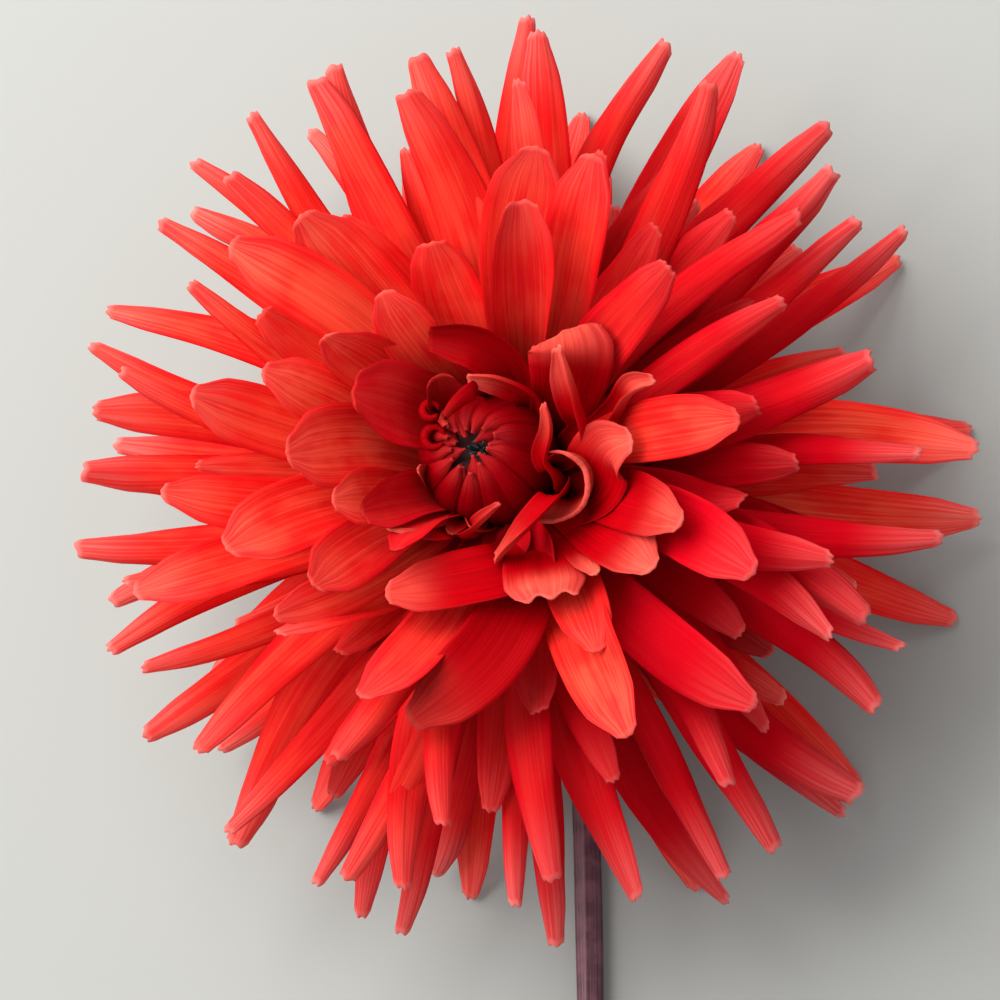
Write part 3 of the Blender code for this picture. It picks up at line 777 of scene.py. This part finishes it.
def tissue_finish(name, dark, light, ribs, roughness):
    """Stem, bract or receptacle tissue: matte, ribbed and slightly mottled."""
    made, tree, shader = new_material(name)
    tissue = node(tree, "ShaderNodeGroup", {
        "Position": node(tree, "ShaderNodeTexCoord").outputs["Object"],
        "UV": node(tree, "ShaderNodeUVMap").outputs[0],
        "Rib Count": ribs, "Dark": dark, "Light": light}, node_tree=TISSUE).outputs
    height = maths(tree, "ADD", tissue["Rib"], times(tree, tissue["Mottle"], 0.4))
    bump = node(tree, "ShaderNodeBump", {"Strength": 0.6, "Distance": BUMP_DEPTH, "Height": height})
    fill(tree, shader, {
        "Base Color": tissue["Color"], "Normal": bump.outputs[0],
        "Roughness": ranged(tree, tissue["Mottle"], 0.0, 1.0, roughness - 0.08, roughness + 0.1),
        "Specular IOR Level": 0.35})
    return made


# Each petal finish gives the colours of its veins and painted claw shade, of its shade side and lit side, of
# its painted highlight, and of its pale tip and painted sheen.
PETAL_FACE = petal_finish("petal_face", (0.46, 0.0, 0.002), (0.52, 0.0, 0.006), (0.92, 0.0, 0.005),
                          (1.0, 0.135, 0.036), (0.96, 0.34, 0.32), 0.32, 0.15, 0.42, 0.65)
PETAL_REVERSE = petal_finish("petal_reverse", (0.46, 0.0, 0.004), (0.60, 0.001, 0.010), (0.90, 0.004, 0.010),
                             (1.0, 0.12, 0.06), (0.96, 0.38, 0.35), 0.32, 0.15, 0.46, 0.7)
# Darker copies of the petal colours, as painted shade in the crowded centre: for the inner whorl, the young
# florets and the bud's scales.
INNER_SHADED_FACE = petal_finish("inner_face_painted_shade", (0.28, 0.0, 0.001), (0.36, 0.0, 0.004), (0.52, 0.0, 0.003),
                          (1.0, 0.11, 0.05), (0.98, 0.30, 0.26), 0.22, 0.45, 0.42, 0.8)
YOUNG_SHADED_FACE = petal_finish("young_face_painted_shade", (0.10, 0.0, 0.001), (0.30, 0.0, 0.002), (0.42, 0.0, 0.003),
                          (0.84, 0.09, 0.05), (0.9, 0.17, 0.14), 0.14, 0.76, 0.42, 0.35)
YOUNG_SHADED_REVERSE = petal_finish("young_reverse_painted_shade", (0.08, 0.0, 0.002), (0.26, 0.0, 0.003), (0.36, 0.0, 0.004),
                             (0.50, 0.002, 0.006), (0.90, 0.14, 0.12), 0.12, 0.3, 0.40)
GREEN_LEAF = tissue_finish("green_bract", (0.05, 0.13, 0.03), (0.14, 0.26, 0.06), 14.0, 0.55)
PAPERY = tissue_finish("papery_bract", (0.34, 0.30, 0.12), (0.62, 0.58, 0.32), 20.0, 0.6)
FLESH = tissue_finish("receptacle_flesh", (0.16, 0.025, 0.015), (0.30, 0.07, 0.03), 12.0, 0.6)
STEM_SKIN = tissue_finish("stem_skin", (0.045, 0.010, 0.018), (0.17, 0.06, 0.085), 22.0, 0.38)
STEM_PITH = tissue_finish("stem_pith", (0.35, 0.42, 0.20), (0.60, 0.62, 0.38), 6.0, 0.65)
BRACTEOLE = tissue_finish("bracteole", (0.008, 0.035, 0.035), (0.03, 0.10, 0.09), 5.0, 0.4)
# Near-black painted shade for the inside of the closed middle, where it shows in the eye.
SHADED_HEART = tissue_finish("heart_painted_shade", (0.02, 0.0, 0.001), (0.06, 0.0, 0.004), 5.0, 0.7)


# ------------------------------------------------------------------ the flower's pieces
# The two inmost whorls take the darker finishes, painted with shade.
OPEN_FACES = (PETAL_FACE,) * 5 + (INNER_SHADED_FACE, YOUNG_SHADED_FACE)
BACK_FACES = (PETAL_FACE, PETAL_REVERSE)


def row_of(entry):
    """A whorl's entry in full, with the form and extras that it may leave out."""
    form = entry[3] if len(entry) > 3 else "quill"
    extras = entry[4] if len(entry) > 4 else {}
    return (*entry[:3], form, extras)


def azimuth_of(tip):
    """Direction of a tip round the flower's axis, in degrees."""
    return math.degrees(math.atan2(tip[1], tip[0]))


def painted_light_at(bearing):
    """Share of painted light in a floret: high on the upper left of the face, which looks towards the key
    light, and low on the lower right, which is painted as shade.
    """
    return (0.5 + 0.5 * math.cos(math.radians(bearing - LIT_BEARING))) ** LIT_FOCUS


def open_florets():
    """The florets of the open face."""
    for whorl, entries in enumerate(WHORLS):
        for number, entry in enumerate(entries, 1):
            bearing, reach, width, form, extras = row_of(entry)
            tip = tip_point(bearing, reach, whorl) - OUTWARD * extras.get("sink", 0.0)
            blade = seated(on_sphere(CLAW_LEANS[whorl], azimuth_of(tip)), tip, width, form,
                           1000 * whorl + number, **extras)
            # Painted light by bearing, as above, with a little random tone.
            painted_light = painted_light_at(bearing) * (0.7 + 0.3 * blade.tone) * WHORL_PAINTED_LIGHT[whorl]
            piece = make_blade(f"petal_w{whorl + 1}_{number:02d}", blade, (16, 52),
                               (OPEN_FACES[whorl], PETAL_REVERSE),
                               painted_light=extras.get("warm", painted_light), pale_and_sheen=WHORL_PALE_AND_SHEEN[whorl])
            solid = f"floret_whorl{whorl + 1}_{number:02d}"
            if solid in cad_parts:
                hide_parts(solid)


def filling_florets():
    """Florets of which only a little shows: shorter ones in the gaps, on their neighbours' path."""
    for whorl, entries in enumerate(WHORLS[:len(FILL_GAP)]):
        rows = sorted((row_of(entry) for entry in entries), key=lambda row: row[0])
        for number, (row, following) in enumerate(zip(rows, rows[1:] + rows[:1]), 1):
            gap = (following[0] - row[0]) % 360.0
            count = int(gap // FILL_GAP[whorl])
            for place in range(count):
                share = (place + 1) / (count + 1)
                seed = 5000 + 100 * whorl + 10 * number + place
                bearing = row[0] + gap * share
                tip = tip_point(bearing, row[1] * (1 - share) + following[1] * share, whorl)
                seat = on_sphere(CLAW_LEANS[whorl] + FILL_LEAN, azimuth_of(tip))
                width = (row[2] + following[2]) / 2
                whole = seated(seat, tip, width, "flat", seed, hook=-0.1)
                length = FILL_LENGTH[whorl] * random.Random(seed).uniform(0.88, 1.08)
                end = whole.midrib(np.array([length]))[0] - OUTWARD * FILL_SINK
                blade = seated(seat, end, width, "flat", seed, hook=-0.1)
                # The filling florets get a little less painted light than those in front.
                make_blade(f"petal_fill_{whorl + 1}_{number:02d}_{place + 1}", blade, (12, 40),
                           BACK_FACES,
                           painted_light=0.7 * painted_light_at(bearing), pale_and_sheen=0.6 * WHORL_PALE_AND_SHEEN[whorl])


def under_florets():
    """The florets that carry the flower, and shorter ones between them."""
    first = -90.0 + UNDER_FREE / 2.0
    sector = (360.0 - UNDER_FREE) / (UNDER_FLORETS - 1)
    for number in range(UNDER_FLORETS):
        azimuth = first + sector * number
        turn = math.radians(azimuth)
        tip = np.array([UNDER_REACH * math.cos(turn), UNDER_REACH * math.sin(turn), FLOOR_HEIGHT + 0.9])
        blade = seated(on_sphere(UNDER_CLAW_LEAN, azimuth), tip, UNDER_WIDTH, "flat", 9000 + number,
                       twist=0.0, hook=0.0, sway=0.0)
        piece = make_blade(f"petal_under_{number + 1:02d}", blade, (14, 44), BACK_FACES)
        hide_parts(f"floret_under_{number + 1:02d}")
    for ring, (count, lean, length, width) in enumerate(SHORT_RINGS, 1):
        for number in range(count):
            seed = 9100 + 50 * ring + number
            draw = random.Random(seed)
            azimuth = first + (360.0 - UNDER_FREE) / count * (number + 0.5)
            tip = on_sphere(lean + draw.uniform(-3, 3), azimuth) * (length + draw.uniform(-4, 4))
            blade = seated(on_sphere(lean - 2.0, azimuth), tip, width, "quill", seed)
            make_blade(f"petal_short_{ring}_{number + 1:02d}", blade, (14, 44), BACK_FACES)


def young_florets():
    """The small curled florets pressed against the closed middle."""
    for number, (name, route, look, end_look, width, form, lit_end) in enumerate(YOUNG):
        places = [at_height(*place) for place in route]
        blade = Curl(places, (look, end_look), width, form, 7000 + number, twist=0.0, roll=0.0)
        # The young florets' turned ends are painted paler as painted light, over bodies darkened as painted
        # shade.
        make_blade(name, blade, (18, 44), (YOUNG_SHADED_FACE, YOUNG_SHADED_FACE),
                   YOUNG_THICKNESS.get(form, FLORET_THICKNESS), painted_light=lit_end, pale_and_sheen=0.7 * lit_end)


def bud_scales():
    """Unopened florets that close over the middle and leave a small dark eye."""
    for ring, (count, radius, end_lean, overlap) in enumerate(SCALE_RINGS):
        for number in range(count):
            piece, across, along = new_grid(f"bud_scale_{ring + 1}_{number + 1:02d}", 16, 40)
            draw = random.Random(500 + 20 * ring + number)
            turn = 360.0 * (number + 0.5 * ring) / count + draw.uniform(-3, 3)
            end = end_lean + draw.uniform(-6, 9)
            lean = np.radians(SCALE_START_LEAN + (end - SCALE_START_LEAN) * along)
            half = math.radians(180.0 / count * overlap)
            azimuth = (math.radians(turn) + SCALE_SWIRL * along ** 2
                       + across * half * through(along, OUTLINE_STOPS, SCALE_OUTLINE))
            height = SCALE_CROWN * (1 - across ** 2) + SCALE_SLANT * across - groove(across)
            height = radius + height * np.clip(np.sin(lean) / 0.5, 0.35, 1.0)
            set_points(piece, np.stack([height * np.sin(lean) * np.cos(azimuth),
                                        height * np.sin(lean) * np.sin(azimuth),
                                        BUD_CENTRE + (height + BUD_HEIGHT - BUD_RADIUS) * np.cos(lean)],
                                       axis=1))
            # The bud's scales take the young florets' darker finishes, as painted shade over the closed
            # middle.
            finish_sheet(piece, across, (draw.random(), 0.4 * draw.random(), 0.2),
                         (YOUNG_SHADED_REVERSE, YOUNG_SHADED_FACE), FLORET_THICKNESS)


def bud_heart():
    """The inside of the closed middle, which shows in the eye; its near-black colour is painted shade in the
    eye's hollow.
    """
    piece, flat = new_ball("bud_heart", 32, 20)
    dent = np.exp(-((flat[:, 0] ** 2 + flat[:, 1] ** 2) / EYE_SPREAD)) * (flat[:, 2] > 0) * EYE_DEPTH
    squeeze = 1.0 - 0.5 * np.clip(-flat[:, 2], 0, 1)
    set_points(piece, np.stack([flat[:, 0] * BUD_HEART_RADIUS * squeeze,
                                flat[:, 1] * BUD_HEART_RADIUS * squeeze,
                                BUD_CENTRE + flat[:, 2] * BUD_HEART_HEIGHT - dent], axis=1))
    piece.data.materials.append(SHADED_HEART)
    settle(piece)
    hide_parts("closed_centre")


def bracteole_tips():
    """Small dark green tips of the inner scales, in the eye."""
    for number in range(BRACTEOLES):
        draw = random.Random(300 + number)
        out = on_sphere(90.0, 360.0 * number / BRACTEOLES + draw.uniform(-18, 18))
        start = np.array(EYE_FLOOR) + out * 0.5
        tip = np.array(EYE_TOP) + np.array([0, 0, draw.uniform(-0.5, 0.5)]) + out * draw.uniform(0.9, 1.7)
        blade = Blade(start, np.array([0, 0, 1.0]) + 0.3 * out, tip, 0.6, "broad", 310 + number)
        make_blade(f"bracteole_{number + 1}", blade, (6, 12), (BRACTEOLE, BRACTEOLE), 0.2)


def receptacle_piece():
    """The domed base on which the florets stand."""
    piece, flat = new_ball("receptacle_dome", 48, 28)
    azimuth = np.arctan2(flat[:, 1], flat[:, 0])
    bumps = 0.12 * np.cos(16 * azimuth) * np.sin(6 * np.arccos(np.clip(flat[:, 2], -1, 1)))
    points = flat * (RECEPTACLE_RADIUS - 0.15 + bumps)[:, None]
    height = points[:, 2] - RECEPTACLE_FLOOR
    points[:, 2] = RECEPTACLE_FLOOR + np.maximum(height, 0.025 * np.abs(height))
    set_points(piece, points)
    piece.data.materials.append(FLESH)
    settle(piece)
    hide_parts("receptacle")


def outer_bracts():
    """Green bracts turned back towards the stem."""
    for number in range(OUTER_BRACTS):
        azimuth = 90.0 + 360.0 / OUTER_BRACTS * number
        start = on_sphere(133.0, azimuth) * (RECEPTACLE_RADIUS - 0.6)
        tip = start + on_sphere(143.0, azimuth) * OUTER_BRACT_LENGTH
        blade = Blade(start, on_sphere(118.0, azimuth), tip, OUTER_BRACT_WIDTH, "broad", 400 + number,
                      sway=0.02)
        piece = make_blade(f"green_bract_{number + 1}", blade, (12, 24), (GREEN_LEAF, GREEN_LEAF),
                           0.55)
        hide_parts(f"outer_bract_{number + 1}")


def inner_bracts():
    """The thin inner bracts, each its own papery leaf, overlapping at their bases."""
    for number in range(INNER_BRACTS):
        azimuth = 360.0 / INNER_BRACTS * number
        start = on_sphere(122.0, azimuth) * (RECEPTACLE_RADIUS - CLAW_SINK)
        tip = on_sphere(119.0, azimuth) * INNER_BRACT_REACH
        blade = Blade(start, on_sphere(126.0, azimuth), tip, INNER_BRACT_WIDTH, "broad", 450 + number,
                      sway=0.0, twist=0.0)
        piece = make_blade(f"papery_bract_{number + 1}", blade, (14, 24), (PAPERY, PAPERY),
                           0.25)
        if number == 0:
            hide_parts("inner_bracts")


def stem_piece():
    """The ribbed stem: a grid rolled into a tube along its route, with a hollow cut end."""
    line = smooth_route(STEM_ROUTE, 24)
    run = distances_along(line)
    ahead = np.gradient(line, axis=0)
    ahead /= np.linalg.norm(ahead, axis=1)[:, None]
    last = len(line)
    rows = last + len(CUT_RADII) - 1
    piece, across, along = new_grid("stem_skin", 36, rows)
    ring = np.round(along * rows).astype(int)
    spot = np.clip(ring, 0, last - 1)
    centre, tangent, distance = line[spot], ahead[spot], run[spot]
    side = np.array([1.0, 0.0, 0.0]) - tangent * tangent[:, :1]
    side /= np.linalg.norm(side, axis=1)[:, None]
    other = np.cross(tangent, side)
    turn = math.pi * across
    radius = STEM_RADIUS + (NECK_RADIUS - STEM_RADIUS) * np.clip(1 - distance / NECK_LENGTH, 0, 1) ** 2
    radius = radius * (1 + 0.022 * np.cos(8 * turn) + 0.012 * np.sin(3 * turn + distance * 0.11))
    radius = radius + 0.09 * np.sin(distance * 0.16) * np.sin(distance * 0.05)
    for step, share in enumerate(CUT_RADII):
        radius = np.where(ring == last + step, STEM_RADIUS * share, radius)
    radius = np.where(ring == 0, 0.0, radius)
    points = centre - tangent * np.where(ring >= last + 2, HOLLOW_DEPTH, 0.0)[:, None]
    points = points + side * (radius * np.cos(turn))[:, None] + other * (radius * np.sin(turn))[:, None]
    points[:, 2] = np.maximum(points[:, 2], FLOOR_HEIGHT + 0.02)
    set_points(piece, points)
    for finish in (STEM_SKIN, STEM_PITH):
        piece.data.materials.append(finish)
    for face in piece.data.polygons:
        if min(ring[v] for v in face.vertices) >= last - 1:
            face.material_index = 1
    bpy.ops.object.mode_set(mode="EDIT")
    bpy.ops.mesh.select_all(action="SELECT")
    bpy.ops.mesh.remove_doubles(threshold=0.000002)
    bpy.ops.mesh.normals_make_consistent(inside=False)
    bpy.ops.object.mode_set(mode="OBJECT")
    bpy.ops.object.shade_smooth_by_angle(angle=math.radians(50))
    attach(piece, "root")
    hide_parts("stem")


# ------------------------------------------------------------------ floor, light and camera
def stage():
    """A plain pale floor."""
    bpy.ops.object.select_all(action="DESELECT")
    bpy.ops.mesh.primitive_plane_add(size=FLOOR_SIZE, location=(0, 0, 0))
    floor = bpy.context.object
    floor.name = "floor"
    made, tree, shader = new_material("pale_floor")
    fill(tree, shader, {"Base Color": FLOOR_COLOUR, "Roughness": 0.9})
    floor.data.materials.append(made)


def lights():
    """Soft daylight: a large key from the upper left, a weak fill and a pale surround."""
    for name, place, size, watts, colour in LIGHTS:
        place = Vector(placed(seen_at(*place)))
        bpy.ops.object.light_add(type="AREA", location=place)
        lamp = bpy.context.object
        lamp.name = name
        lamp.data.size = size
        lamp.data.energy = watts
        lamp.data.color = colour
        lamp.rotation_euler = (HEART - place).to_track_quat("-Z", "Y").to_euler()
    world = bpy.data.worlds.new("surround")
    bpy.context.scene.world = world
    world.use_nodes = True
    background = world.node_tree.nodes["Background"]
    fill(world.node_tree, background, {"Color": (SURROUND_GREY,) * 3, "Strength": SURROUND_STRENGTH})


def camera():
    """Looks at the open face, 20 degrees off the flower's axis."""
    middle = VIEW_OFFSET[0] * RIGHT + VIEW_OFFSET[1] * UP
    data = bpy.data.cameras.new("camera")
    made = bpy.data.objects.new("camera", data)
    bpy.context.scene.collection.objects.link(made)
    made.location = placed(middle + VIEW_DISTANCE * OUTWARD)
    made.rotation_euler = Matrix((RIGHT, UP, OUTWARD)).transposed().to_euler()
    data.sensor_width = SENSOR
    data.lens = SENSOR * VIEW_DISTANCE / VIEW_WIDTH
    data.clip_start = 0.01
    data.clip_end = 20.0
    bpy.context.scene.camera = made


camera()
lights()
stage()
receptacle_piece()
bud_heart()
bud_scales()
bracteole_tips()
young_florets()
open_florets()
filling_florets()
under_florets()
outer_bracts()
inner_bracts()
stem_piece()
bpy.context.scene.view_settings.view_transform = "Standard"
